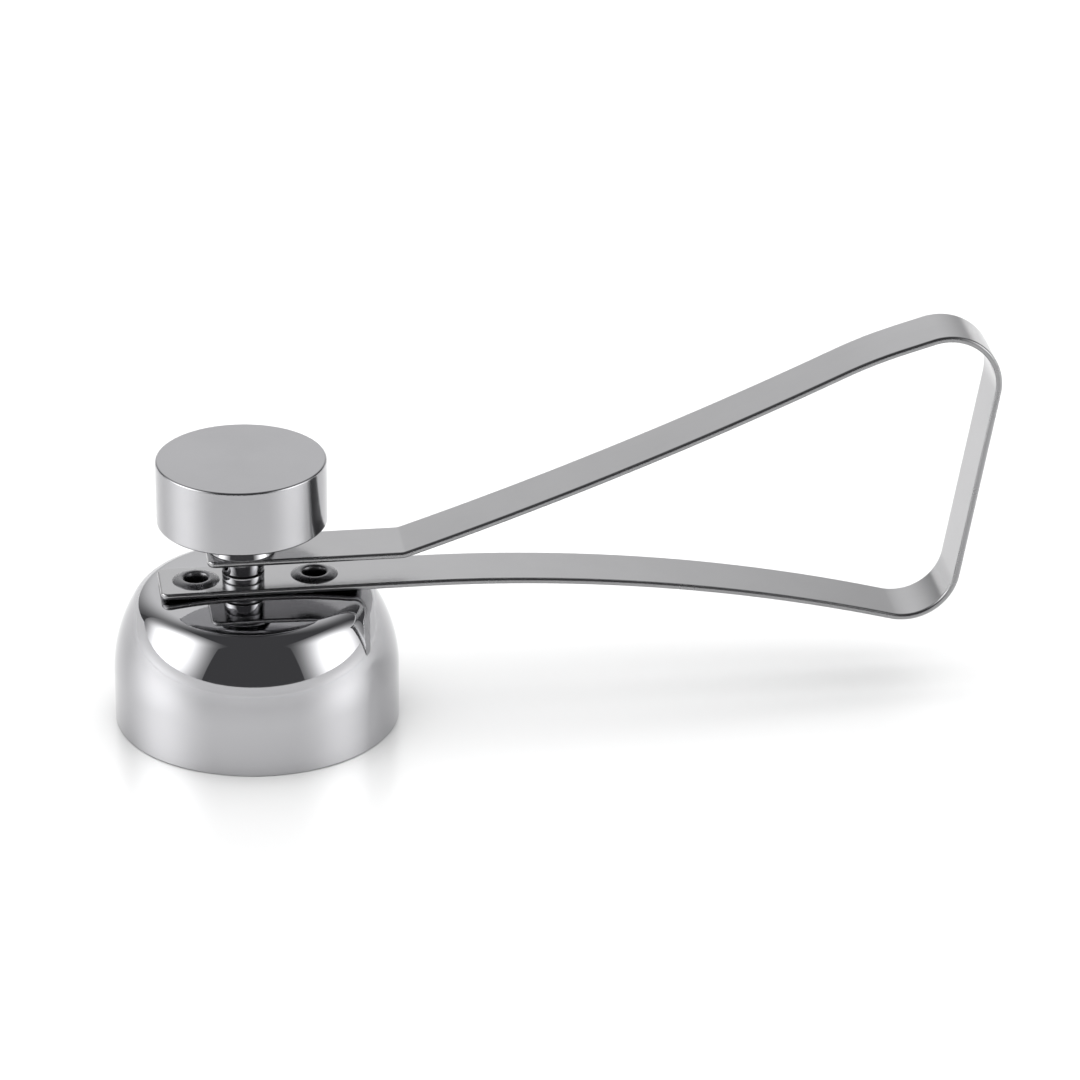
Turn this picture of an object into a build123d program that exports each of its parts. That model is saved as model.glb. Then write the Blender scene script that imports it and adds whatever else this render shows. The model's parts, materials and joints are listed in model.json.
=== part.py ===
from build123d import *
import os
from math import cos, radians, sin

# Egg topper: a drawn steel cup that sits over the end of an egg, a bent spring-steel strap
# riveted to its crown, and a knob on the strap's free end. The knob is lifted against the
# strap and let go, and the striker under it raps the cup.
# Frame: origin at the centre of the cup's mouth, +Z up through the crown, +X along the handle.
# Lengths in millimetres, angles in degrees.

# Cup: straight wall, a large shoulder arc, a small brow arc and a flat crown.
cup_radius = 17.5
cup_height = 17.65
cup_wall = 0.8
shoulder_radius = 17.5
shoulder_turn = 33.5
brow_radius = 3.25
rim_edge_break = 0.2

# Strap stock.
strap_width = 7.8
strap_thickness = 0.8
strap_end_rounding = 1.2

# Strap route, given by the corners of its outer face. Reaches run along the handle.
tail_reach = 11.8
droop_start_reach = 20.0
shoulder_reach = 92.1
heel_setback = 6.4
heel_drop = 10.1
crest_setback = 6.6
crest_rise = 30.2
shoulder_drop = 4.3
knee_setback = 10.3
knee_drop = 3.0
crank_reach = 17.9
arm_sag = 0.9
flex_setback = 4.0

# Bend radii on the strap's outer face.
heel_radius = 6.9
shoulder_bend_radius = 5.8
crest_radius = 6.8
knee_radius = 57.0
crank_radius = 2.6

# Hollow rivets that hold the strap to the crown.
rivet_reach = 7.25
rivet_barrel_radius = 1.9
rivet_bore_radius = 1.45
rivet_flange_radius = 2.9
rivet_curl_radius = 2.7
rivet_flange_height = 0.4
rivet_flank_run = 0.45
rivet_clearance = 0.05

# Striker: screw, sleeve and collar stacked through the strap's free end, and the knob on top.
striker_reach = -1.45
pad_overhang = 4.55
screw_radius = 1.5
screw_head_radius = 2.6
screw_head_height = 0.95
screw_grip = 5.0
screw_clearance = 0.05
sleeve_radius = 2.6
sleeve_height = 2.2
collar_foot_radius = 4.2
collar_neck_radius = 2.75
collar_height = 3.7
knob_radius = 10.4
knob_height = 8.3
knob_socket_depth = 5.6
knob_top_chamfer = 0.35
knob_foot_chamfer = 0.4
edge_break = 0.12

# Levels, from the rim up.
crown_top = cup_height
crown_underside = crown_top - cup_wall
seat_top = crown_top + strap_thickness
screw_head_top = seat_top + screw_head_height
pad_underside = screw_head_top + sleeve_height
pad_top = pad_underside + strap_thickness
knob_foot = pad_top + collar_height
screw_top = knob_foot + screw_grip
strap_hole_radius = rivet_barrel_radius + rivet_clearance
screw_hole_radius = screw_radius + screw_clearance

# Corners of the strap's outer face, in the handle's own plane (reach, height).
tail_tip = (-tail_reach, crown_top)
droop_start = (droop_start_reach, crown_top)
heel = (shoulder_reach - heel_setback, crown_top - heel_drop)
crest = (shoulder_reach - crest_setback, crown_top + crest_rise)
shoulder = (shoulder_reach, crest[1] - shoulder_drop)
knee = (crest[0] - knee_setback, crest[1] - knee_drop)
crank = (crank_reach, pad_top)
pad_tip = (striker_reach - pad_overhang, pad_top)

# The line where the free arm is taken to flex, a little below the crest.
crest_to_knee = (Vector(*knee) - Vector(*crest)).normalized()
flex_point = Vector(*crest) + crest_to_knee * flex_setback


def dome_outline(radius, height, shoulder_arc, brow_arc):
    """Half outline of a domed cup from its axis, closed along the axis and the mouth."""
    turn = radians(shoulder_turn)
    wall_height = height - shoulder_arc * sin(turn) - brow_arc * (1 - sin(turn))
    wall = Line((radius, 0), (radius, wall_height))
    shoulder_curve = JernArc(wall @ 1, (0, 1), shoulder_arc, shoulder_turn)
    brow_curve = JernArc(shoulder_curve @ 1, shoulder_curve % 1, brow_arc, 90 - shoulder_turn)
    crown = Line(brow_curve @ 1, (0, height))
    axis = Line((0, height), (0, 0))
    mouth = Line((0, 0), (radius, 0))
    return make_face([wall, shoulder_curve, brow_curve, crown, axis, mouth])


def turned(section):
    """Solid turned about the vertical axis from half a section."""
    return revolve(Plane.XZ * section, Axis.Z)


def upright_hole(radius, reach, bottom, top):
    """Round cutter along Z at a reach along the handle."""
    middle = (bottom + top) / 2
    return Pos(reach, 0, middle) * Cylinder(radius, 2 * (top - bottom))


def make_cup():
    """Drawn cup with broken rim edges and two rivet holes in its crown."""
    outside = dome_outline(cup_radius, cup_height, shoulder_radius, brow_radius)
    inside = dome_outline(
        cup_radius - cup_wall, crown_underside, shoulder_radius - cup_wall, brow_radius - cup_wall
    )
    cup = turned(outside - inside)
    rim_edges = cup.edges().group_by(Axis.Z)[0].filter_by(GeomType.CIRCLE)
    cup = chamfer(rim_edges, rim_edge_break)
    for reach in (-rivet_reach, rivet_reach):
        cup -= upright_hole(strap_hole_radius, reach, crown_underside, crown_top)
    return cup


def bent(route, bends):
    """Round the named corners of a route, each with its own radius."""
    for corner, radius in bends:
        vertex = route.vertices().sort_by_distance(corner)[0]
        route = route.fillet_2d(radius, [vertex])
    return route


def strap_along(outer_face_route):
    """Strap stock whose outer face follows a route drawn in the handle's plane."""
    section = make_face(outer_face_route.offset_2d(strap_thickness, side=Side.LEFT))
    return extrude(Plane.XZ * section, strap_width / 2, both=True)


def round_end(strap, rounding):
    """Round both corners of the strap's end that lies furthest towards -X."""
    corners = strap.edges().filter_by(Axis.Z).group_by(Axis.X)[0]
    return fillet(corners, rounding)


def make_handle_strap():
    """Seat on the crown, drooping lower arm, heel, end bar, shoulder and crest."""
    seat = Line(tail_tip, droop_start)
    droop = TangentArc(droop_start, heel, tangent=(1, 0))
    end_bar = Line(heel, shoulder)
    top_bar = Line(shoulder, crest)
    crest_run = Line(crest, flex_point)
    route = bent(
        Wire([seat, droop, end_bar, top_bar, crest_run]),
        [(heel, heel_radius), (shoulder, shoulder_bend_radius), (crest, crest_radius)],
    )
    strap = round_end(strap_along(route), strap_end_rounding)
    for reach in (-rivet_reach, rivet_reach):
        strap -= upright_hole(strap_hole_radius, reach, crown_top, seat_top)
    return strap


def make_spring_arm():
    """Free upper arm from the flex line down to the flat pad that carries the striker."""
    knee_run = Line(flex_point, knee)
    arm = SagittaArc(knee, crank, arm_sag)
    pad = Line(crank, pad_tip)
    route = bent(Wire([knee_run, arm, pad]), [(knee, knee_radius), (crank, crank_radius)])
    strap = round_end(strap_along(route), strap_end_rounding)
    return strap - upright_hole(screw_hole_radius, striker_reach, pad_underside, pad_top)


def rolled_lip(outer, level, height):
    """Outline of a rolled lip from the bore outwards, as two flanks and a flat crest."""
    crest_level = level + height
    return Polyline(
        (rivet_bore_radius, level),
        (rivet_bore_radius + rivet_flank_run, crest_level),
        (outer - rivet_flank_run, crest_level),
        (outer, level),
    )


def make_rivet(reach):
    """Hollow rivet, rolled over the strap on top and curled under the crown."""
    roll = rolled_lip(rivet_flange_radius, seat_top, rivet_flange_height)
    curl = rolled_lip(rivet_curl_radius, crown_underside, -rivet_flange_height)
    bore = Line(curl @ 0, roll @ 0)
    flange = Line(roll @ 1, (rivet_barrel_radius, seat_top))
    barrel = Line(flange @ 1, (rivet_barrel_radius, crown_underside))
    shelf = Line(barrel @ 1, curl @ 1)
    return Pos(reach, 0, 0) * turned(make_face([bore, roll, flange, barrel, shelf, curl]))


def make_screw():
    """Striker screw: flat head that raps the strap, and a shank up into the knob."""
    head_middle = (seat_top + screw_head_top) / 2
    head = Pos(0, 0, head_middle) * Cylinder(screw_head_radius, screw_head_height)
    head = chamfer(head.edges().filter_by(GeomType.CIRCLE), edge_break)
    shank_middle = (screw_head_top + screw_top) / 2
    shank = Pos(0, 0, shank_middle) * Cylinder(screw_radius, screw_top - screw_head_top)
    shank = chamfer(shank.edges().group_by(Axis.Z)[-1], edge_break)
    return Pos(striker_reach, 0, 0) * (head + shank)


def bored_for_screw(body, bottom, height):
    """Turned body with broken outer edges and the screw's hole, standing on its level."""
    body = chamfer(body.edges().filter_by(GeomType.CIRCLE), edge_break)
    body -= Cylinder(screw_hole_radius, 2 * height)
    return Pos(striker_reach, 0, bottom + height / 2) * body


def make_sleeve():
    """Straight sleeve between the screw's head and the strap."""
    return bored_for_screw(Cylinder(sleeve_radius, sleeve_height), screw_head_top, sleeve_height)


def make_collar():
    """Flared collar between the strap and the knob, widest on the strap."""
    flare = Cone(collar_foot_radius, collar_neck_radius, collar_height)
    return bored_for_screw(flare, pad_top, collar_height)


def make_knob():
    """Solid turned knob with chamfered edges and a blind socket for the screw."""
    knob = Cylinder(knob_radius, knob_height)
    rims = knob.edges().filter_by(GeomType.CIRCLE).sort_by(Axis.Z)
    knob = chamfer(rims[-1], knob_top_chamfer)
    foot = knob.edges().group_by(Axis.Z)[0]
    knob = chamfer(foot, knob_foot_chamfer)
    socket_middle = (knob_socket_depth - knob_height) / 2
    knob -= Pos(0, 0, socket_middle) * Cylinder(screw_hole_radius, knob_socket_depth)
    return Pos(striker_reach, 0, knob_foot + knob_height / 2) * knob


pieces = {
    "cup": make_cup(),
    "tail_rivet": make_rivet(-rivet_reach),
    "handle_rivet": make_rivet(rivet_reach),
    "handle_strap": make_handle_strap(),
    "spring_arm": make_spring_arm(),
    "striker_screw": make_screw(),
    "striker_sleeve": make_sleeve(),
    "knob_collar": make_collar(),
    "striker_knob": make_knob(),
}

os.makedirs("parts", exist_ok=True)
for name, piece in pieces.items():
    export_step(piece, f"parts/{name}.step")
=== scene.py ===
"""Looks of an egg topper: a polished cup, a bent strap riveted to it, and a knob on a sprung arm.

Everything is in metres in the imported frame: origin at the centre of the cup's mouth, +Z up through
the crown, +X along the handle. Lengths written in millimetres are turned to metres with MM.
"""

import json
import logging
import math
from collections.abc import Callable, Iterable
from dataclasses import dataclass
from enum import Enum

import bmesh
import bpy
import numpy as np
from mathutils import Matrix, Vector


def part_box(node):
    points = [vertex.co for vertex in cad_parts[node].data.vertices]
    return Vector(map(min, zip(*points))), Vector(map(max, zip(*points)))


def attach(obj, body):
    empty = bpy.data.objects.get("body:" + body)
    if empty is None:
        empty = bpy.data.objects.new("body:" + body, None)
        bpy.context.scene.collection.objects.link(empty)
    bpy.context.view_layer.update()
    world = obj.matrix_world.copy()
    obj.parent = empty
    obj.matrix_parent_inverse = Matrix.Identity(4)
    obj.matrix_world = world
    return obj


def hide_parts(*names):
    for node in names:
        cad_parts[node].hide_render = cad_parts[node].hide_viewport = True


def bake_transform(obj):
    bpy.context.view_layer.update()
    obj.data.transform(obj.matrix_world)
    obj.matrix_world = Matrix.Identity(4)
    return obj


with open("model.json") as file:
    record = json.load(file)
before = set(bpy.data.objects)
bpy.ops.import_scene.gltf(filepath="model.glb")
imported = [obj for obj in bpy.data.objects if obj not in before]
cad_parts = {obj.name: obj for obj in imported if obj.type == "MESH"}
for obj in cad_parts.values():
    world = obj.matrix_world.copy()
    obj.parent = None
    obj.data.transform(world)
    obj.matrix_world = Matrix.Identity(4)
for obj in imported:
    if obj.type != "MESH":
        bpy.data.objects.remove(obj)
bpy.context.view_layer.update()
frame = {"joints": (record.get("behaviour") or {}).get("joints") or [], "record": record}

LOG = logging.getLogger("egg_topper")
MM = 0.001
SHARP_ANGLE = math.radians(35)
WELD_DISTANCE = 0.0005 * MM
HOLE_STEPS = 48
# A face of the strip belongs to its edge when its normal's Y part is above this.
SIDEWAYS = 0.5
# Two noise values added together mostly stay in this range.
NOISE_SUM = (0.6, 1.4)


class Body(Enum):
    """The bodies that the pieces move with."""

    CUP = "cup_and_handle"
    STRIKER = "striker"


class Slot(Enum):
    """The record's material slots."""

    POLISHED = "polished_steel"
    SATIN = "satin_steel"
    RIVET = "rivet_steel"
    TURNED = "turned_steel"
    SCREW = "screw_steel"


# ---------------------------------------------------------------- materials


def linear(hex_colour: str) -> tuple[float, float, float, float]:
    """Turn an sRGB hex colour into linear light.

    Args:
        hex_colour: six hex digits, such as "B4B4B6".

    Returns:
        Linear red, green, blue and an alpha of one.
    """
    channels = [int(hex_colour[i : i + 2], 16) / 255 for i in (0, 2, 4)]
    red, green, blue = (c / 12.92 if c <= 0.04045 else ((c + 0.055) / 1.055) ** 2.4 for c in channels)
    return red, green, blue, 1.0


def add_node(
    tree: bpy.types.NodeTree, kind: str, settings: dict | None = None, inputs: dict | None = None
) -> bpy.types.Node:
    """Add a node with its settings and links.

    Args:
        tree: the node tree that gets the node.
        kind: the node's type name.
        settings: properties of the node, by name.
        inputs: values or output sockets for its inputs, by name or number.

    Returns:
        The new node.
    """
    node = tree.nodes.new(kind)
    for name, value in (settings or {}).items():
        setattr(node, name, value)
    for name, value in (inputs or {}).items():
        if isinstance(value, bpy.types.NodeSocket):
            tree.links.new(value, node.inputs[name])
        else:
            node.inputs[name].default_value = value
    return node


@dataclass(frozen=True)
class SteelFinish:
    """Stainless steel with fine marks from the way its surface was made.

    The marks are noise stretched by mark_size, in real millimetres along X, Y and Z, so a piece that is
    turned or rolled shows them running the way the tool went. They stand mark_height millimetres proud,
    and clouds of cloud_size millimetres vary the tone. A turning above zero spreads reflections along
    the axis, across the fine rings that a lathe leaves.
    """

    name: str
    colour: str
    worn_colour: str
    roughness: float
    roughness_spread: float
    mark_size: tuple[float, float, float]
    mark_height: float = 0.0
    cloud_size: float = 9.0
    turning: float = 0.0

    def material(self) -> bpy.types.Material:
        """Build the procedural material.

        Returns:
            The material, with colour, roughness and bump from Object coordinates.
        """
        material = bpy.data.materials.new(self.name)
        material.use_nodes = True
        tree = material.node_tree
        tree.nodes.clear()
        place = add_node(tree, "ShaderNodeTexCoord").outputs["Object"]
        marks_at = add_node(
            tree,
            "ShaderNodeMapping",
            inputs={"Vector": place, "Scale": [1 / (size * MM) for size in self.mark_size]},
        )
        marks = add_node(
            tree,
            "ShaderNodeTexNoise",
            inputs={"Vector": marks_at.outputs["Vector"], "Scale": 1.0, "Detail": 2.0, "Roughness": 0.55},
        ).outputs["Fac"]
        clouds = add_node(
            tree,
            "ShaderNodeTexNoise",
            inputs={"Vector": place, "Scale": 1 / (self.cloud_size * MM), "Detail": 3.0, "Roughness": 0.6},
        ).outputs["Fac"]
        tone = add_node(
            tree,
            "ShaderNodeMix",
            {"data_type": "RGBA"},
            {"Factor": clouds, 6: linear(self.colour), 7: linear(self.worn_colour)},
        ).outputs[2]
        mixed = add_node(tree, "ShaderNodeMath", {"operation": "ADD"}, {0: marks, 1: clouds}).outputs[0]
        gloss = add_node(
            tree,
            "ShaderNodeMapRange",
            inputs={
                "Value": mixed,
                "From Min": NOISE_SUM[0],
                "From Max": NOISE_SUM[1],
                "To Min": self.roughness - self.roughness_spread,
                "To Max": self.roughness + self.roughness_spread,
            },
        ).outputs["Result"]
        steel = add_node(
            tree,
            "ShaderNodeBsdfPrincipled",
            inputs={"Base Color": tone, "Metallic": 1.0, "Roughness": gloss},
        )
        if self.turning > 0:
            round_axis = add_node(tree, "ShaderNodeTangent", {"direction_type": "RADIAL", "axis": "Z"})
            tree.links.new(round_axis.outputs["Tangent"], steel.inputs["Tangent"])
            steel.inputs["Anisotropic"].default_value = self.turning
            steel.inputs["Anisotropic Rotation"].default_value = 0.25
        if self.mark_height > 0:
            bump = add_node(
                tree,
                "ShaderNodeBump",
                inputs={"Strength": 1.0, "Distance": self.mark_height * MM, "Height": marks},
            )
            tree.links.new(bump.outputs["Normal"], steel.inputs["Normal"])
        add_node(tree, "ShaderNodeOutputMaterial", inputs={"Surface": steel.outputs["BSDF"]})
        return material


# Drawn and buffed 304 stainless: a clean mirror, with the faint clouding of a hand-held buff.
MIRROR_CUP = SteelFinish("buffed_stainless_mirror", "B9B9BB", "B3B3B5", 0.03, 0.008, (9, 9, 9))
# Cold-rolled spring strip as it leaves the tumbler: an even satin with faint lengthwise rolling lines,
# drawn 0.5 mm apart, coarser than the real ones, so that they show at all.
SATIN_STRIP = SteelFinish(
    "rolled_satin_spring_strip", "B4B4B5", "ADADAE", 0.17, 0.03, (14, 0.5, 14), mark_height=0.0006
)
# The strip's edge, sheared and then tumbled round: a little duller and darker than its rolled faces.
TUMBLED_EDGE = SteelFinish(
    "tumbled_strip_edge", "9C9C9D", "929293", 0.26, 0.04, (5, 1.0, 1.0), mark_height=0.001
)
# Lathe-turned and lightly polished stainless: the fine rings draw reflections out along the axis.
TURNED_KNOB = SteelFinish("turned_stainless_knob", "B0B0B2", "A8A8AA", 0.17, 0.02, (6, 6, 6), turning=0.6)
# Small turned parts, brighter than the knob because they were polished on the bar.
TURNED_SCREW = SteelFinish("bright_turned_screw", "B4B4B6", "ACACAE", 0.08, 0.02, (4, 4, 1.5))
# Hollow rivets, tumbled before they were rolled over: darker and duller than the strip.
TUMBLED_RIVET = SteelFinish(
    "tumbled_hollow_rivet", "8E8E90", "78787A", 0.26, 0.05, (1.2, 1.2, 1.2), mark_height=0.002
)
# Painted shade: the groove between the screw's head and the sleeve gets a dark colour that stands in for
# the shade inside the slot.
PAINTED_GROOVE_SHADE = SteelFinish("painted_groove_shade", "3C3C3E", "303032", 0.45, 0.05, (1, 1, 1))


class Finishes:
    """Materials of the object, each built once."""

    def __init__(self) -> None:
        """Start with no material built."""
        self._built: dict[str, bpy.types.Material] = {}

    def get(self, finish: SteelFinish) -> bpy.types.Material:
        """Give a finish's material.

        Args:
            finish: the finish wanted.

        Returns:
            Its material, built on first use.
        """
        if finish.name not in self._built:
            self._built[finish.name] = finish.material()
        return self._built[finish.name]


# ---------------------------------------------------------------- mesh helpers


def arc(centre: tuple[float, float], radius: float, start: float, end: float, step: float) -> list[tuple]:
    """Points of a round stretch of an outline.

    Args:
        centre: the arc's centre in the outline's plane.
        radius: the arc's radius.
        start: angle of the first point, in degrees.
        end: angle of the last point, in degrees.
        step: largest turn between two points, in degrees.

    Returns:
        The points from start to end, both included.
    """
    count = max(2, math.ceil(abs(end - start) / step) + 1)
    turns = np.radians(np.linspace(start, end, count))
    return [(centre[0] + radius * math.cos(t), centre[1] + radius * math.sin(t)) for t in turns]


def turn_outline(bm: bmesh.types.BMesh, outline: list[tuple], reach: float, steps: int) -> None:
    """Turn an outline of (radius, height) points about an upright axis.

    Args:
        bm: the mesh that gets the turned surface.
        outline: the chain of points to turn.
        reach: where the axis stands along the handle.
        steps: faces round the full turn.
    """
    chain = [bm.verts.new((reach + radius, 0, height)) for radius, height in outline]
    edges = [bm.edges.new(pair) for pair in zip(chain, chain[1:])]
    bmesh.ops.spin(
        bm,
        geom=chain + edges,
        cent=(reach, 0, 0),
        axis=(0, 0, 1),
        angle=math.tau,
        steps=steps,
        use_merge=True,
    )
    bmesh.ops.remove_doubles(bm, verts=bm.verts, dist=WELD_DISTANCE)


def round_edges(bm: bmesh.types.BMesh, edges: list, radius: float, segments: int) -> None:
    """Round edges with a bevel.

    Args:
        bm: the mesh.
        edges: the edges to round.
        radius: how far the rounding reaches from the edge.
        segments: faces across the rounding.
    """
    bmesh.ops.bevel(
        bm,
        geom=edges,
        offset=radius,
        offset_type="OFFSET",
        affect="EDGES",
        segments=segments,
        profile=0.5,
        material=-1,
        clamp_overlap=True,
    )


def sharp_edges(bm: bmesh.types.BMesh) -> list:
    """Edges where two faces meet at more than the sharp angle."""
    return [e for e in bm.edges if e.is_manifold and e.calc_face_angle(0) > SHARP_ANGLE]


def open_holes(
    bm: bmesh.types.BMesh,
    patch: list,
    centres: list[float],
    radius: float,
    height_at: Callable[[float], float],
) -> list[list]:
    """Open round holes in a patch of a surface.

    Args:
        bm: the mesh.
        patch: the faces that the holes lie in.
        centres: where the holes stand along the handle.
        radius: the holes' radius.
        height_at: the surface's height at a distance from the upright axis through the origin.

    Returns:
        The ring of edges round each hole.
    """
    face = bmesh.ops.dissolve_faces(bm, faces=patch, use_verts=False)["region"][0]
    border = list(face.edges)
    bmesh.ops.delete(bm, geom=[face], context="FACES_ONLY")
    rings = []
    for reach in centres:
        place = Matrix.Translation((reach, 0, 0))
        made = bmesh.ops.create_circle(bm, segments=HOLE_STEPS, radius=radius, matrix=place)["verts"]
        for vert in made:
            vert.co.z = height_at(math.hypot(vert.co.x, vert.co.y))
        rings.append(list({e for v in made for e in v.link_edges}))
    filled = border + [e for ring in rings for e in ring]
    bmesh.ops.triangle_fill(bm, use_beauty=True, edges=filled, normal=(0, 0, 1))
    return rings


def level_faces(bm: bmesh.types.BMesh, level: float) -> list:
    """Faces that lie flat at a level."""
    return [f for f in bm.faces if all(abs(v.co.z - level) < WELD_DISTANCE for v in f.verts)]


def pierce(bm: bmesh.types.BMesh, ring_pairs: Iterable[tuple[list, list]]) -> None:
    """Join each lower ring of a hole's edges to the upper one."""
    for lower, upper in ring_pairs:
        bmesh.ops.bridge_loops(bm, edges=lower + upper)


@dataclass
class Piece:
    """One finished mesh of the object and what it stands for."""

    name: str
    body: Body
    slot: Slot
    stands_for: str

    def make(self, bm: bmesh.types.BMesh, materials: list[bpy.types.Material]) -> bpy.types.Object:
        """Turn a bmesh into the piece, shaded and dressed.

        Args:
            bm: the closed mesh, freed here.
            materials: the piece's material slots in order.

        Returns:
            The new object.
        """
        bmesh.ops.recalc_face_normals(bm, faces=bm.faces)
        for face in bm.faces:
            face.smooth = True
        for edge in bm.edges:
            edge.smooth = not (edge.is_manifold and edge.calc_face_angle(0) > SHARP_ANGLE)
        mesh = bpy.data.meshes.new(self.name)
        bm.to_mesh(mesh)
        bm.free()
        for material in materials:
            mesh.materials.append(material)
        piece = bpy.data.objects.new(self.name, mesh)
        bpy.context.scene.collection.objects.link(piece)
        weighted = piece.modifiers.new("flat_faces_stay_flat", "WEIGHTED_NORMAL")
        weighted.keep_sharp = True
        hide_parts(self.stands_for)
        LOG.info("%s: %d faces", self.name, len(mesh.polygons))
        return piece

    def ride(self, bm: bmesh.types.BMesh, materials: list[bpy.types.Material]) -> bpy.types.Object:
        """Make the piece and let it ride rigidly on its body."""
        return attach(self.make(bm, materials), self.body.value)


# ---------------------------------------------------------------- the strip's route


class Route:
    """The line that the strip's outer face follows in the handle's own plane."""

    STEP = 0.04 * MM

    def __init__(self, start: tuple[float, float]) -> None:
        """Start the route at a point (reach, height)."""
        self.points = np.array([start], float)
        self.corner = self.points[0]

    def _add(self, points: np.ndarray, bend_radius: float) -> None:
        """Join a leg to the route, rounding the corner between them when a radius is given.

        Args:
            points: the leg's points, the first of them on the corner.
            bend_radius: radius of the bend that takes the corner's place, or zero.
        """
        if bend_radius <= 0:
            self.points = np.vstack([self.points, points[1:]])
            return
        before, after = self.points, points
        side = math.copysign(1, self._turn(before[-1] - before[-2], after[1] - after[0]))
        inner_before = self._beside(before, bend_radius * side)
        inner_after = self._beside(after, bend_radius * side)
        gaps = np.linalg.norm(inner_before[:, None] - inner_after[None], axis=2)
        last, first = np.unravel_index(gaps.argmin(), gaps.shape)
        ahead = self._heading(before)[last]
        onward = self._heading(after)[first]
        offset = inner_after[first] - inner_before[last]
        centre = inner_before[last] + ahead * self._turn(offset, onward) / self._turn(ahead, onward)
        begin = math.atan2(-side * ahead[0], side * ahead[1])
        sweep = math.atan2(self._turn(ahead, onward), ahead @ onward)
        count = max(4, round(abs(sweep) * bend_radius / self.STEP))
        turns = begin + np.linspace(0, sweep, count)
        bend = centre + bend_radius * np.column_stack([np.cos(turns), np.sin(turns)])
        self.points = np.vstack([before[:last], bend, after[first + 1 :]])

    @staticmethod
    def _turn(first: np.ndarray, second: np.ndarray) -> float:
        """Cross product of two directions: positive for a turn to the left."""
        return first[0] * second[1] - first[1] * second[0]

    @staticmethod
    def _heading(points: np.ndarray) -> np.ndarray:
        """Unit direction of travel at every point of a line."""
        heading = np.gradient(points, axis=0)
        return heading / np.linalg.norm(heading, axis=1)[:, None]

    @classmethod
    def _beside(cls, points: np.ndarray, distance: float) -> np.ndarray:
        """The same line moved to its left by a distance."""
        heading = cls._heading(points)
        return points + distance * np.column_stack([-heading[:, 1], heading[:, 0]])

    def line(self, end: tuple[float, float], bend_radius: float = 0.0) -> "Route":
        """Go straight to a point.

        Args:
            end: where the leg ends.
            bend_radius: radius of the bend where the leg starts.

        Returns:
            The route itself.
        """
        count = max(3, round(math.dist(self.corner, end) / self.STEP))
        self._add(np.linspace(self.corner, end, count), bend_radius)
        self.corner = np.array(end, float)
        return self

    def arch(self, end: tuple[float, float], sag: float, bend_radius: float = 0.0) -> "Route":
        """Go to a point along one shallow arc that stands off the straight line by a sag.

        Args:
            end: where the arc ends.
            sag: how far the arc's middle stands to the left of the straight line, negative for right.
            bend_radius: radius of the bend where the leg starts.

        Returns:
            The route itself.
        """
        start, finish = self.corner, np.array(end, float)
        chord = finish - start
        length = float(np.linalg.norm(chord))
        radius = (length**2 / 4 + sag**2) / (2 * sag)
        left = np.array([-chord[1], chord[0]]) / length
        centre = (start + finish) / 2 + left * (sag - radius)
        half = math.asin(length / 2 / abs(radius))
        middle = math.atan2(left[1], left[0]) + (0 if sag > 0 else math.pi)
        count = max(8, round(length / self.STEP))
        turns = middle + math.copysign(1, sag) * np.linspace(half, -half, count)
        points = centre + abs(radius) * np.column_stack([np.cos(turns), np.sin(turns)])
        self._add(points, bend_radius)
        self.corner = finish
        return self

    def stations(self, max_turn: float, max_run: float, end_ways: list[float]) -> list["Station"]:
        """Places along the route where the strip's section is drawn.

        Args:
            max_turn: largest turn between two stations, in degrees.
            max_run: longest run between two stations.
            end_ways: ways from the start where the free end's own stations lie.

        Returns:
            The stations from the start to the end.
        """
        heading = np.unwrap(np.arctan2(*np.gradient(self.points, axis=0).T[::-1]))
        steps = np.linalg.norm(np.diff(self.points, axis=0), axis=1)
        way = np.concatenate([[0], np.cumsum(steps)])
        kept = [0]
        for i in range(1, len(way) - 1):
            turned = math.degrees(abs(heading[i] - heading[kept[-1]]))
            if turned >= max_turn or way[i] - way[kept[-1]] >= max_run:
                kept.append(i)
        kept.append(len(way) - 1)
        low, high = min(end_ways), max(end_ways)
        plain = [way[i] for i in kept if not low <= way[i] <= high]
        ways = np.sort(np.array(plain + list(end_ways)))
        reaches, heights = (np.interp(ways, way, self.points[:, i]) for i in (0, 1))
        return [Station(*spot) for spot in zip(reaches, heights, np.interp(ways, way, heading), ways)]

    def length(self) -> float:
        """Whole way from the start to the end."""
        return float(np.linalg.norm(np.diff(self.points, axis=0), axis=1).sum())


@dataclass(frozen=True)
class Station:
    """A place on a route: reach, height, heading in radians and way from the start."""

    reach: float
    height: float
    heading: float
    way: float


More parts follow.
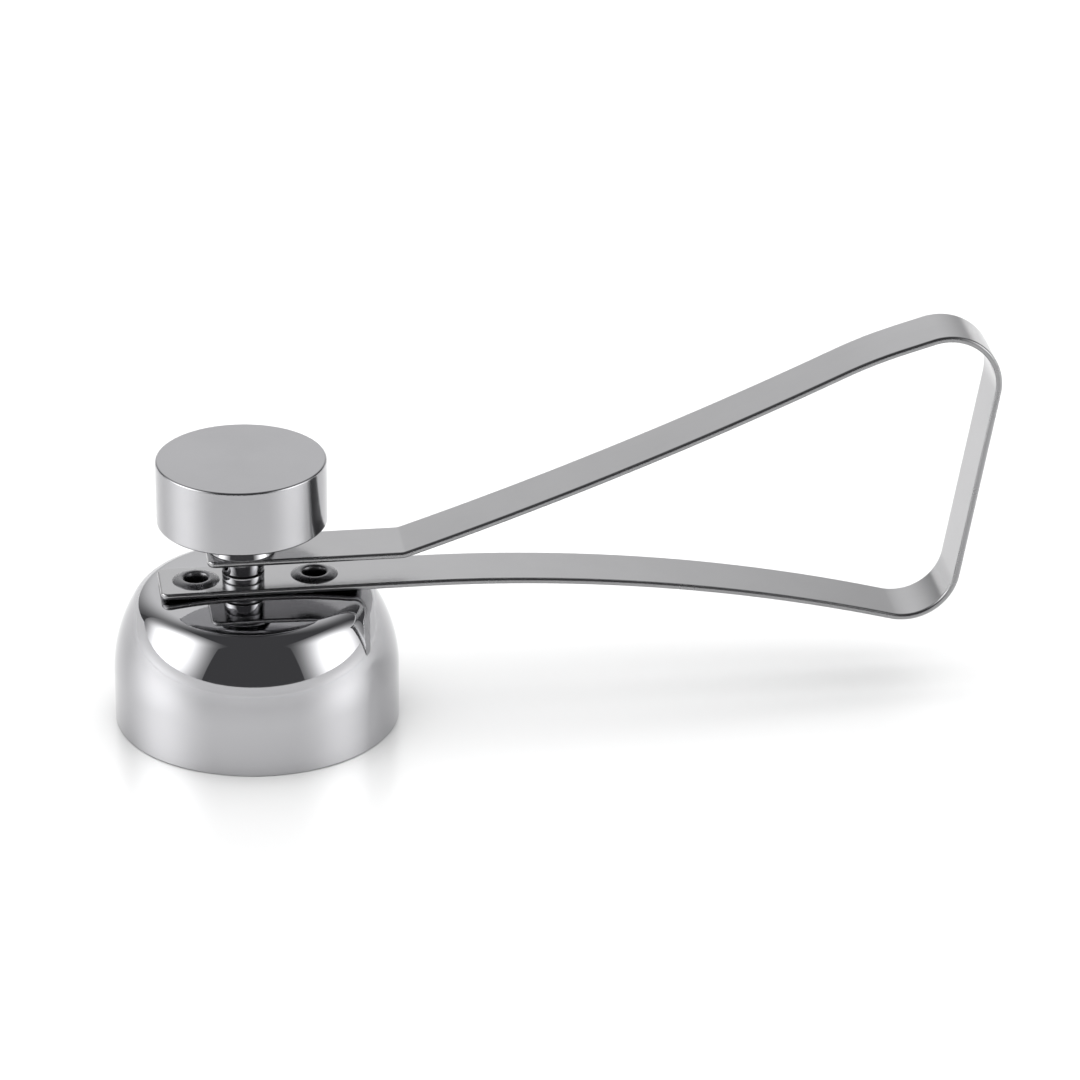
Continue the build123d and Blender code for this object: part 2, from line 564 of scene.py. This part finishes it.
@dataclass(frozen=True)
class StripStock:
    """The strip's own section, tumbled round along its edges, and the corners of its free end."""

    width: float
    thickness: float = 0.8 * MM
    edge_radius: float = 0.37 * MM
    end_rounding: float = 1.2 * MM
    max_turn: float = 3.0
    max_run: float = 1.6 * MM
    edge_steps: int = 8
    end_steps: int = 12

    def _section(self, from_end: float) -> list[tuple]:
        """Rounded section, narrower and thinner where the free end's corners take it.

        Args:
            from_end: distance from the free end.

        Returns:
            Points of (across, through), once round.
        """
        in_plan = max(0.0, self.end_rounding - from_end)
        in_side = max(0.0, self.edge_radius - from_end)
        lost_width = self.end_rounding - math.sqrt(self.end_rounding**2 - in_plan**2)
        lost_thickness = self.edge_radius - math.sqrt(self.edge_radius**2 - in_side**2)
        across = self.width / 2 - lost_width
        through = self.thickness / 2 - lost_thickness
        radius = min(self.edge_radius, through)
        points = []
        for side, up, start in ((1, 1, 0), (-1, 1, 90), (-1, -1, 180), (1, -1, 270)):
            centre = (side * (across - radius), up * (through - radius))
            points += arc(centre, radius, start, start + 90, 90 / self.edge_steps)
        return points

    def bend_along(
        self, route: Route, free_end_first: bool, level: float, holes: list[float], hole_radius: float
    ) -> bmesh.types.BMesh:
        """Make strip that lies to the left of a route, rounded at its edges and its free end.

        Args:
            route: the outer face's line.
            free_end_first: whether the free end is the route's start, and the plain cut its end.
            level: height of the strip's middle in the flat stretch that is pierced.
            holes: where its holes stand along the handle.
            hole_radius: the holes' radius.

        Returns:
            The closed and pierced strip.
        """
        length = route.length()
        turns = np.linspace(0, math.pi / 2, self.end_steps + 1)
        inwards = [self.end_rounding * (1 - math.cos(t)) for t in turns]
        end_ways = inwards if free_end_first else [length - way for way in inwards]
        bm = bmesh.new()
        rings = []
        for spot in route.stations(self.max_turn, self.max_run, end_ways):
            section = self._section(spot.way if free_end_first else length - spot.way)
            ring = []
            for across, through in section:
                inset = self.thickness / 2 + through
                reach = spot.reach - inset * math.sin(spot.heading)
                ring.append(bm.verts.new((reach, across, spot.height + inset * math.cos(spot.heading))))
            rings.append(ring)
        for ring, following in zip(rings, rings[1:]):
            for i in range(len(ring)):
                bm.faces.new((ring[i - 1], ring[i], following[i], following[i - 1]))
        bm.faces.new(rings[0])
        bm.faces.new(rings[-1])
        bmesh.ops.remove_doubles(bm, verts=bm.verts, dist=WELD_DISTANCE)
        half = self.thickness / 2
        below, above = (
            open_holes(bm, level_faces(bm, face_level), holes, hole_radius, lambda _, z=face_level: z)
            for face_level in (level - half, level + half)
        )
        pierce(bm, zip(below, above))
        return bm


# ---------------------------------------------------------------- sub-assemblies


@dataclass
class Cup:
    """The drawn cup: straight wall, shoulder arc, brow arc and a crown that is all but flat.

    The crown falls away along a large arc before it meets the brow, as the press leaves it, and stays
    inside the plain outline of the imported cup. The plain turn is that outline's shoulder, which gives
    the height of the wall, and the shoulder drawn here turns a little less.
    """

    finishes: Finishes
    shoulder_radius: float = 17.5 * MM
    plain_turn: float = 33.5
    brow_radius: float = 3.25 * MM
    crown_turn: float = 84.5
    crown_radius: float = 95.0 * MM
    rim_rounding: float = 0.2 * MM
    hole_radius: float = 1.95 * MM
    hole_margin: float = 0.6 * MM
    ring_width: float = 0.8 * MM
    rim_step: float = 22.5
    shoulder_step: float = 1.2
    brow_step: float = 2.4
    crown_step: float = 0.9
    steps: int = 224

    def __post_init__(self) -> None:
        """Read the cup's size from the frame and work out where its arcs meet."""
        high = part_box("cup")[1]
        mount = next(m for m in frame["record"]["mounts"] if m["name"] == "cup_mouth")
        self.radius = high.x
        self.height = high.z
        self.wall = self.radius - mount["dims"]["r_mm"] * MM
        reach = self.shoulder_radius - self.brow_radius
        plain_rise = self.brow_radius + reach * math.sin(math.radians(self.plain_turn))
        self.wall_height = self.height - plain_rise
        lean = math.radians(self.crown_turn)
        crown_rise = self.crown_radius * (1 - math.sin(lean))
        turn = math.asin((plain_rise - crown_rise - self.brow_radius * math.sin(lean)) / reach)
        self.shoulder_turn = math.degrees(turn)
        crown_run = (self.crown_radius - self.brow_radius) * math.cos(lean)
        self.flat_radius = self.radius - self.shoulder_radius + reach * math.cos(turn) - crown_run

    def _crown_height(self, distance: float, inset: float) -> float:
        """Height of the crown at a distance from the axis, on the face that lies in by an inset."""
        beyond = max(0.0, distance - self.flat_radius)
        return self.height - self.crown_radius + math.sqrt((self.crown_radius - inset) ** 2 - beyond**2)

    def _side(self, inset: float) -> list[tuple]:
        """Outline of one face of the cup, from the top of its wall to the axis.

        Args:
            inset: how far the face lies in from the outside.

        Returns:
            Points of (radius, height).
        """
        shoulder = self.shoulder_radius - inset
        place = (self.radius - self.shoulder_radius, self.wall_height)
        points = arc(place, shoulder, 0, self.shoulder_turn, self.shoulder_step)
        turn, lean = math.radians(self.shoulder_turn), math.radians(self.crown_turn)
        reach = self.shoulder_radius - self.brow_radius
        place = (place[0] + reach * math.cos(turn), place[1] + reach * math.sin(turn))
        brow = self.brow_radius - inset
        points += arc(place, brow, self.shoulder_turn, self.crown_turn, self.brow_step)[1:]
        reach = self.brow_radius - self.crown_radius
        place = (place[0] + reach * math.cos(lean), place[1] + reach * math.sin(lean))
        points += arc(place, self.crown_radius - inset, self.crown_turn, 90, self.crown_step)[1:]
        rings = math.ceil(self.flat_radius / self.ring_width)
        flat = np.linspace(self.flat_radius, 0, rings + 1)[1:]
        return points + [(float(r), self.height - inset) for r in flat]

    def _patch(self, bm: bmesh.types.BMesh, reach: float, inset: float) -> list:
        """Faces of the crown round one hole.

        Args:
            bm: the cup's mesh.
            reach: where the hole stands along the handle.
            inset: how far the crown's face lies in from the outside.

        Returns:
            The faces that the hole is cut from.
        """
        patch = []
        for face in bm.faces:
            middle = face.calc_center_median()
            level = self._crown_height(math.hypot(middle.x, middle.y), inset)
            near = math.hypot(middle.x - reach, middle.y) < self.hole_radius + self.hole_margin
            if near and abs(middle.z - level) < self.wall / 4:
                patch.append(face)
        return patch

    def build(self) -> None:
        """Turn the cup and pierce its crown."""
        rim = self.rim_rounding
        rim_outer = arc((self.radius - rim, rim), rim, -90, 0, self.rim_step)
        rim_inner = arc((self.radius - self.wall + rim, rim), rim, 180, 270, self.rim_step)
        outline = self._side(self.wall)[::-1] + rim_inner + rim_outer + self._side(0.0)
        bm = bmesh.new()
        turn_outline(bm, outline, 0.0, self.steps)
        bmesh.ops.recalc_face_normals(bm, faces=bm.faces)
        for node in ("tail_rivet", "handle_rivet"):
            reach = sum(c.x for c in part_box(node)) / 2
            below, above = (
                open_holes(
                    bm,
                    self._patch(bm, reach, inset),
                    [reach],
                    self.hole_radius,
                    lambda distance, inset=inset: self._crown_height(distance, inset),
                )
                for inset in (self.wall, 0.0)
            )
            pierce(bm, zip(below, above))
        piece = Piece("cup_shell", Body.CUP, Slot.POLISHED, "cup")
        piece.ride(bm, [self.finishes.get(MIRROR_CUP)])


@dataclass
class Handle:
    """The bent strip: seat, drooping lower arm, heel, end bar and crest, then the sprung upper arm."""

    finishes: Finishes
    droop_start_reach: float = 20.0 * MM
    shoulder_reach: float = 92.1 * MM
    heel_setback: float = 6.4 * MM
    heel_drop: float = 10.1 * MM
    crest_setback: float = 6.6 * MM
    crest_rise: float = 30.2 * MM
    shoulder_drop: float = 4.3 * MM
    knee_setback: float = 10.3 * MM
    knee_drop: float = 3.0 * MM
    crank_reach: float = 17.9 * MM
    arm_sag: float = 0.9 * MM
    heel_radius: float = 6.9 * MM
    shoulder_bend_radius: float = 5.8 * MM
    crest_radius: float = 6.8 * MM
    knee_radius: float = 57.0 * MM
    crank_radius: float = 2.6 * MM
    rivet_hole_radius: float = 1.95 * MM
    screw_hole_radius: float = 1.55 * MM
    flex_from: float = 0.5 * MM
    flex_to: float = 16.0 * MM

    def __post_init__(self) -> None:
        """Work out the strip's corners from the frame and the sizes above."""
        low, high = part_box("handle_strap")
        arm_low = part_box("spring_arm")[0]
        self.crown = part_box("cup")[1].z
        self.stock = StripStock(width=high.y - low.y)
        self.tail_tip = (low.x, self.crown)
        self.droop_start = (self.droop_start_reach, self.crown)
        self.heel = (self.shoulder_reach - self.heel_setback, self.crown - self.heel_drop)
        self.crest = (self.shoulder_reach - self.crest_setback, self.crown + self.crest_rise)
        self.shoulder = (self.shoulder_reach, self.crest[1] - self.shoulder_drop)
        self.knee = (self.crest[0] - self.knee_setback, self.crest[1] - self.knee_drop)
        joint = next(j for j in frame["joints"] if j["name"] == "arm_flex")
        self.flex_point = (joint["pos_m"][0], joint["pos_m"][2])
        self.pad_top = arm_low.z + self.stock.thickness
        self.crank = (self.crank_reach, self.pad_top)
        self.pad_tip = (arm_low.x, self.pad_top)

    def _droop_sag(self) -> float:
        """Work out the sag of the lower arm's arc, which leaves the seat without a corner.

        Returns:
            The sag.
        """
        run = self.heel[0] - self.droop_start[0]
        half_turn = math.atan2(self.heel_drop, run)
        return math.hypot(run, self.heel_drop) / 2 * math.tan(half_turn / 2)

    def _materials(self) -> list[bpy.types.Material]:
        """Finishes of the rolled faces and of the tumbled edge."""
        return [self.finishes.get(SATIN_STRIP), self.finishes.get(TUMBLED_EDGE)]

    @staticmethod
    def _dress_edges(bm: bmesh.types.BMesh) -> None:
        """Give the faces that look sideways the tumbled edge's finish."""
        for face in bm.faces:
            face.material_index = int(abs(face.normal.y) > SIDEWAYS)

    def build_lower(self) -> None:
        """Seat, lower arm, end bar and crest, as far as the flex line."""
        route = (
            Route(self.tail_tip)
            .line(self.droop_start)
            .arch(self.heel, self._droop_sag())
            .line(self.shoulder, self.heel_radius)
            .line(self.crest, self.shoulder_bend_radius)
            .line(self.flex_point, self.crest_radius)
        )
        reaches = [sum(c.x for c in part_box(node)) / 2 for node in ("tail_rivet", "handle_rivet")]
        middle = self.crown + self.stock.thickness / 2
        bm = self.stock.bend_along(route, True, middle, reaches, self.rivet_hole_radius)
        self._dress_edges(bm)
        Piece("handle_strip", Body.CUP, Slot.SATIN, "handle_strap").ride(bm, self._materials())

    def build_arm(self) -> None:
        """Upper arm from its flat pad back to the flex line."""
        route = (
            Route(self.flex_point)
            .line(self.knee)
            .arch(self.crank, self.arm_sag, self.knee_radius)
            .line(self.pad_tip, self.crank_radius)
        )
        reach = sum(c.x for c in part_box("striker_screw")) / 2
        middle = self.pad_top - self.stock.thickness / 2
        bm = self.stock.bend_along(route, False, middle, [reach], self.screw_hole_radius)
        self._dress_edges(bm)
        piece = Piece("spring_arm_strip", Body.STRIKER, Slot.SATIN, "spring_arm")
        arm = piece.make(bm, self._materials())
        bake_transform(arm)


@dataclass
class Rivets:
    """The two hollow rivets, rolled over the strip on top and curled under the crown.

    A crest_pull below one moves a lip's crest towards the bore, and a squareness below one makes its
    flanks steeper.
    """

    finishes: Finishes
    bore_radius: float = 1.45 * MM
    barrel_radius: float = 1.9 * MM
    curl_inset: float = 0.2 * MM
    roll_dip: float = 0.25 * MM
    crest_pull: float = 0.6
    squareness: float = 0.75
    lip_steps: int = 24
    steps: int = 96

    def _lip(self, outer: float, level: float, height: float, up: int) -> list[tuple]:
        """Rolled lip from its outer edge over its crest and down into the bore.

        Args:
            outer: the lip's outer radius.
            level: the face that it is rolled on to.
            height: how far it stands off that face.
            up: 1 for the lip on top, -1 for the one below.

        Returns:
            Points of (radius, height), from the outer edge inwards.
        """
        lip = []
        for u in np.linspace(1, 0, self.lip_steps + 1)[:-1]:
            rise = math.sin(math.pi * u**self.crest_pull) ** self.squareness if u < 1 else 0.0
            lip.append((self.bore_radius + (outer - self.bore_radius) * u, level + up * height * rise))
        return lip + [(self.bore_radius, level - up * self.roll_dip)]

    def build(self, node: str) -> None:
        """Make one rivet.

        Args:
            node: the rivet's node.
        """
        low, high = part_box(node)
        reach = (low.x + high.x) / 2
        seat_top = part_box("striker_screw")[0].z
        underside = low.z + (high.z - seat_top)
        flange = (high.x - low.x) / 2
        top = self._lip(flange, seat_top, high.z - seat_top, 1)
        bottom = self._lip(flange - self.curl_inset, underside, underside - low.z, -1)
        outline = top + bottom[::-1] + [(self.barrel_radius, underside), (self.barrel_radius, seat_top)]
        bm = bmesh.new()
        turn_outline(bm, outline + [outline[0]], reach, self.steps)
        Piece(f"{node}_rolled", Body.CUP, Slot.RIVET, node).ride(bm, [self.finishes.get(TUMBLED_RIVET)])


@dataclass
class Striker:
    """Screw, sleeve, collar and knob, stacked on the arm's pad."""

    finishes: Finishes
    edge_break: float = 0.12 * MM
    groove_depth: float = 0.3 * MM
    groove_height: float = 0.32 * MM
    corner_rounding: float = 0.04 * MM
    corner_segments: int = 3
    collar_neck: float = 2.75 * MM
    knob_top_rounding: float = 0.3 * MM
    knob_foot_rounding: float = 0.4 * MM
    shank_radius: float = 1.5 * MM
    bore_radius: float = 1.55 * MM
    socket_depth: float = 5.6 * MM
    rounding_step: float = 15.0
    steps: int = 160

    def __post_init__(self) -> None:
        """Find the stack's axis."""
        low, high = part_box("striker_screw")
        self.reach = (low.x + high.x) / 2

    def _size(self, node: str) -> tuple[float, float, float]:
        """Radius, foot and top of a turned node."""
        low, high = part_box(node)
        return (high.x - low.x) / 2, low.z, high.z

    def _turn(
        self, piece: Piece, outline: list[tuple], finish: SteelFinish, paint_groove_shade: bool = False
    ) -> None:
        """Turn an outline, take the keenness off its edges and make the piece.

        Args:
            piece: what the mesh becomes.
            outline: points of (radius, height).
            finish: the piece's finish.
            paint_groove_shade: whether the faces round the groove get a dark colour as painted shade.
        """
        bm = bmesh.new()
        turn_outline(bm, outline, self.reach, self.steps)
        bmesh.ops.recalc_face_normals(bm, faces=bm.faces)
        round_edges(bm, sharp_edges(bm), self.corner_rounding, self.corner_segments)
        materials = [self.finishes.get(finish)]
        # Painted shade: faces in the band round the groove, on the screw and on the sleeve, get a dark
        # colour in place of the shade that falls inside the slot.
        if paint_groove_shade:
            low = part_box("striker_sleeve")[0].z - self.corner_rounding / 2
            high = low + self.groove_height + self.corner_rounding
            for face in bm.faces:
                face.material_index = int(low < face.calc_center_median().z < high)
            materials.append(self.finishes.get(PAINTED_GROOVE_SHADE))
        piece.ride(bm, materials)

    def build_screw(self) -> None:
        """Flat head that raps the strip, and its shank."""
        radius, foot, top = self._size("striker_screw")
        head_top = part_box("striker_sleeve")[0].z
        outline = [(0, foot), (radius - self.edge_break, foot), (radius, foot + self.edge_break)]
        outline += [(radius, head_top)]
        outline += [(self.shank_radius, head_top), (self.shank_radius, top), (0, top)]
        piece = Piece("striker_screw_turned", Body.STRIKER, Slot.SCREW, "striker_screw")
        self._turn(piece, outline, TURNED_SCREW, paint_groove_shade=True)

    def build_sleeve(self) -> None:
        """Straight sleeve, undercut where it meets the screw's head."""
        radius, foot, top = self._size("striker_sleeve")
        bore, neck, shelf = self.bore_radius, radius - self.groove_depth, foot + self.groove_height
        outline = [(bore, foot), (neck, foot), (neck, shelf), (radius, shelf)]
        outline += [(radius, top - self.edge_break), (radius - self.edge_break, top)]
        outline += [(bore, top), (bore, foot)]
        piece = Piece("striker_sleeve_turned", Body.STRIKER, Slot.SCREW, "striker_sleeve")
        self._turn(piece, outline, TURNED_SCREW, paint_groove_shade=True)

    def build_collar(self) -> None:
        """Flared collar, widest on the strip."""
        radius, foot, top = self._size("knob_collar")
        bore = self.bore_radius
        outline = [(bore, foot), (radius - self.edge_break, foot), (radius, foot + self.edge_break)]
        outline += [(self.collar_neck, top), (bore, top), (bore, foot)]
        piece = Piece("knob_collar_turned", Body.STRIKER, Slot.TURNED, "knob_collar")
        self._turn(piece, outline, TURNED_SCREW)

    def build_knob(self) -> None:
        """Solid knob with rounded edges."""
        radius, foot, top = self._size("striker_knob")
        bore, brow, heel = self.bore_radius, self.knob_top_rounding, self.knob_foot_rounding
        outline = [(0, foot + self.socket_depth), (bore, foot + self.socket_depth), (bore, foot)]
        outline += arc((radius - heel, foot + heel), heel, -90, 0, self.rounding_step)
        outline += arc((radius - brow, top - brow), brow, 0, 90, self.rounding_step) + [(0, top)]
        piece = Piece("striker_knob_turned", Body.STRIKER, Slot.TURNED, "striker_knob")
        self._turn(piece, outline, TURNED_KNOB)

    def build(self) -> None:
        """Make the whole stack."""
        self.build_screw()
        self.build_sleeve()
        self.build_collar()
        self.build_knob()


# ---------------------------------------------------------------- studio


def direction(azimuth: float, elevation: float) -> Vector:
    """Unit vector at an azimuth from -Y towards +X and an elevation, both in degrees."""
    a, e = math.radians(azimuth), math.radians(elevation)
    return Vector((math.sin(a) * math.cos(e), -math.cos(a) * math.cos(e), math.sin(e)))


class Job(Enum):
    """What a light is for: to be mirrored in the metal, or to light the floor."""

    METAL = "metal"
    FLOOR = "floor"


@dataclass(frozen=True)
class Softbox:
    """An area light behind a large diffuser, brightest in its middle and fading out like a bell curve.

    Across and up say how far from the middle the curve falls to 61 percent, for a panel at a metre. The
    panel stands further off in proportion, and reaches to where the glow is all but gone.
    """

    name: str
    azimuth: float
    elevation: float
    across: float
    up: float
    radiance: float
    job: Job = Job.METAL
    distance: float = 2.4

    REACH = 2.4
    # Cycles takes a square light's radiance as its power over four times its area.
    POWER_PER_RADIANCE = 4.0

    def _square(self, tree: bpy.types.NodeTree, along: bpy.types.NodeSocket) -> bpy.types.NodeSocket:
        """Square the distance from the panel's middle along one of its sides.

        Args:
            tree: the light's node tree.
            along: the place along that side, from zero to one.

        Returns:
            The square, in units of the curve's own width.
        """
        offset = add_node(
            tree,
            "ShaderNodeMapRange",
            {"clamp": False},
            {"Value": along, "To Min": -self.REACH, "To Max": self.REACH},
        ).outputs["Result"]
        square = add_node(tree, "ShaderNodeMath", {"operation": "MULTIPLY"}, {0: offset, 1: offset})
        return square.outputs[0]

    def _shade(self, tree: bpy.types.NodeTree) -> None:
        """Give the light its bell curve.

        Args:
            tree: the light's node tree.
        """
        tree.nodes.clear()
        spot = add_node(tree, "ShaderNodeNewGeometry").outputs["Parametric"]
        place = add_node(tree, "ShaderNodeSeparateXYZ", inputs={"Vector": spot}).outputs
        squares = {0: self._square(tree, place["X"]), 1: self._square(tree, place["Y"])}
        total = add_node(tree, "ShaderNodeMath", {"operation": "ADD"}, squares).outputs[0]
        power = add_node(tree, "ShaderNodeMath", {"operation": "MULTIPLY"}, {0: total, 1: -0.5})
        glow = add_node(tree, "ShaderNodeMath", {"operation": "EXPONENT"}, {0: power.outputs[0]})
        lamp = add_node(tree, "ShaderNodeEmission", inputs={"Strength": glow.outputs[0]})
        add_node(tree, "ShaderNodeOutputLight", inputs={"Surface": lamp.outputs["Emission"]})

    def build(self) -> None:
        """Make the light, aimed at the cup."""
        data = bpy.data.lights.new(self.name, "AREA")
        data.shape = "RECTANGLE"
        data.size = 2 * self.REACH * self.across * self.distance
        data.size_y = 2 * self.REACH * self.up * self.distance
        data.energy = self.POWER_PER_RADIANCE * data.size * data.size_y * self.radiance
        data.use_nodes = True
        self._shade(data.node_tree)
        light = bpy.data.objects.new(self.name, data)
        away = direction(self.azimuth, self.elevation)
        light.location = away * self.distance
        light.rotation_mode = "QUATERNION"
        light.rotation_quaternion = away.to_track_quat("Z", "Y")
        light.visible_camera = False
        light.visible_glossy = self.job is Job.METAL
        light.visible_diffuse = self.job is Job.FLOOR
        bpy.context.scene.collection.objects.link(light)


@dataclass
class Studio:
    """Pale floor that rises at its rim, soft lights, and the camera where the photograph was taken.

    The camera's place is in millimetres, its angles in degrees, and its focal length in pixels of the
    square picture.
    """

    floor_colour: str = "AAAAAA"
    backdrop: str = "F4F4F4"
    floor_flat: float = 0.9
    floor_radius: float = 1.3
    floor_rise: float = 0.18
    floor_rings: int = 16
    floor_steps: int = 96
    surround: str = "545456"
    camera_place: tuple[float, float, float] = (-49.45, -619.61, 314.05)
    camera_azimuth: float = -7.772
    camera_elevation: float = 25.084
    camera_roll: float = 0.216
    focal_pixels: float = 5624.7
    picture_pixels: int = 1080
    sensor: float = 36.0

    def build_floor(self) -> None:
        """Round sheet of glossy pale acrylic, flat in the middle and rising gently at its rim."""
        bm = bmesh.new()
        flat, radius, rise = self.floor_flat, self.floor_radius, self.floor_rise
        run = radius - flat
        outline = [(0.0, 0.0)]
        outline += [(flat + run * t, rise * t * t) for t in np.linspace(0, 1, self.floor_rings)]
        turn_outline(bm, outline, 0.0, self.floor_steps)
        bmesh.ops.recalc_face_normals(bm, faces=bm.faces)
        if bm.faces[0].normal.z < 0:
            bmesh.ops.reverse_faces(bm, faces=bm.faces)
        for face in bm.faces:
            face.smooth = True
        mesh = bpy.data.meshes.new("studio_floor")
        bm.to_mesh(mesh)
        bm.free()
        material = bpy.data.materials.new("glossy_pale_acrylic_sheet")
        material.use_nodes = True
        tree = material.node_tree
        tree.nodes.clear()
        acrylic = add_node(
            tree,
            "ShaderNodeBsdfPrincipled",
            inputs={
                "Base Color": linear(self.floor_colour),
                "Roughness": 0.25,
                "IOR": 1.7,
                "Specular IOR Level": 1.0,
            },
        )
        add_node(tree, "ShaderNodeOutputMaterial", inputs={"Surface": acrylic.outputs["BSDF"]})
        mesh.materials.append(material)
        floor = bpy.data.objects.new("studio_floor", mesh)
        bpy.context.scene.collection.objects.link(floor)

    def build_lights(self) -> None:
        """Large soft lights at both sides and behind for the metal, and one overhead for the floor."""
        for box in (
            Softbox("left_softbox", -88, 22, 0.33, 0.34, 3.2),
            Softbox("right_softbox", 70, 16, 0.30, 0.35, 2.7),
            Softbox("back_panel", 177, 29, 0.44, 0.50, 0.72),
            Softbox("floor_light", 176, 88, 0.90, 0.90, 4.7, Job.FLOOR),
        ):
            box.build()
        world = bpy.data.worlds.new("dim_studio")
        world.use_nodes = True
        tree = world.node_tree
        tree.nodes.clear()
        dim = add_node(tree, "ShaderNodeBackground", inputs={"Color": linear(self.surround)})
        pale = add_node(tree, "ShaderNodeBackground", inputs={"Color": linear(self.backdrop)})
        seen = add_node(tree, "ShaderNodeLightPath").outputs["Is Camera Ray"]
        glow = add_node(
            tree,
            "ShaderNodeMixShader",
            inputs={0: seen, 1: dim.outputs["Background"], 2: pale.outputs["Background"]},
        )
        add_node(tree, "ShaderNodeOutputWorld", inputs={"Surface": glow.outputs["Shader"]})
        bpy.context.scene.world = world

    def build_camera(self) -> None:
        """Long lens looking down at the object, as the photograph does."""
        data = bpy.data.cameras.new("camera")
        data.sensor_width = self.sensor
        data.lens = self.focal_pixels / self.picture_pixels * self.sensor
        data.clip_start = 0.01
        data.clip_end = 20.0
        camera = bpy.data.objects.new("camera", data)
        a, e = math.radians(self.camera_azimuth), math.radians(self.camera_elevation)
        forward = Vector((-math.sin(a) * math.cos(e), math.cos(a) * math.cos(e), -math.sin(e)))
        right = Vector((math.cos(a), math.sin(a), 0))
        up = right.cross(forward)
        roll = math.radians(self.camera_roll)
        right, up = (
            right * math.cos(roll) + up * math.sin(roll),
            up * math.cos(roll) - right * math.sin(roll),
        )
        turn = Matrix((right, up, -forward)).transposed().to_4x4()
        camera.matrix_world = Matrix.Translation(Vector(self.camera_place) * MM) @ turn
        bpy.context.scene.collection.objects.link(camera)
        bpy.context.scene.camera = camera

    def build(self) -> None:
        """Make the whole studio."""
        bpy.context.scene.view_settings.view_transform = "Standard"
        self.build_floor()
        self.build_lights()
        self.build_camera()


def main() -> None:
    """Build the object's pieces in order, then the studio."""
    logging.basicConfig(level=logging.INFO, format="%(name)s %(message)s")
    finishes = Finishes()
    Cup(finishes).build()
    handle = Handle(finishes)
    handle.build_lower()
    handle.build_arm()
    rivets = Rivets(finishes)
    for node in ("tail_rivet", "handle_rivet"):
        rivets.build(node)
    Striker(finishes).build()
    Studio().build()


if __name__ == "__main__":
    main()
